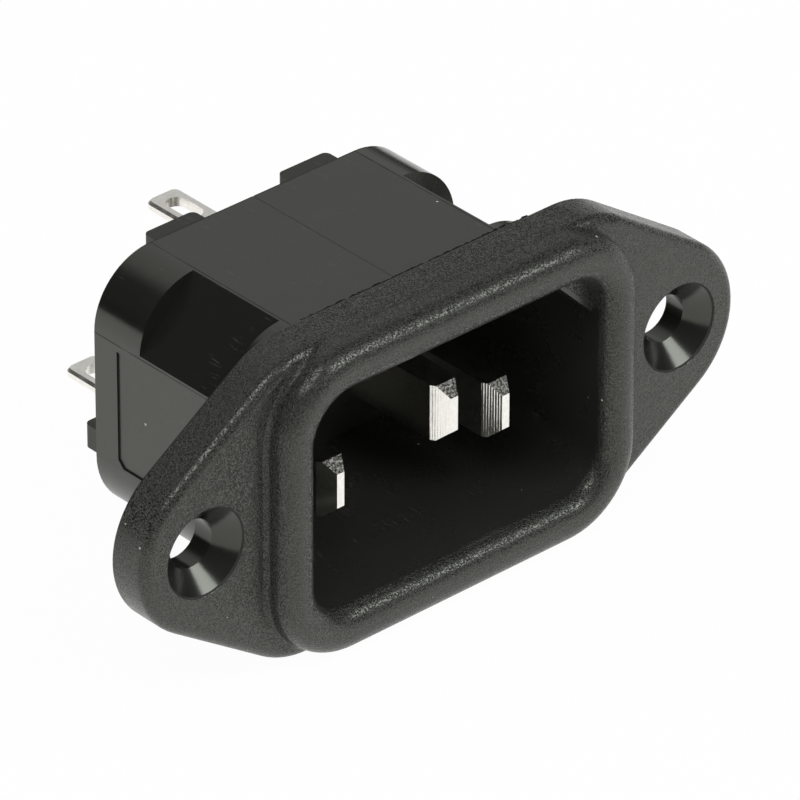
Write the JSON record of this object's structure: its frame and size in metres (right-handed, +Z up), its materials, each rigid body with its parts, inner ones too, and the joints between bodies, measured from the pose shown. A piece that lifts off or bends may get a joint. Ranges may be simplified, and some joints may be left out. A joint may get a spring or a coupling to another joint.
{
  "type": "panel inlet socket",
  "caption": "Screw-mounted C14 appliance inlet: moulded housing with an oval flange, raised bezel and keyed mouth, flat blades inside and solder tails behind.",
  "frame": {"origin": "on the flange's rear seating face, midway between the two screw holes", "axes": "+X along the flange through the screw holes, +Y back through the panel, +Z up towards the earth contact"},
  "size_m": [0.05, 0.0295, 0.0222],
  "materials": {
    "housing_plastic": "black moulded polyamide, spark-eroded grain on flange and bezel, satin on the body",
    "contact_metal": "nickel plated, silvery, with cut marks on the chamfered tips"
  },
  "bodies": {
    "root": {"housing": "housing_plastic", "left_contact": "contact_metal", "right_contact": "contact_metal", "earth_contact": "contact_metal"}
  },
  "joints": []
}
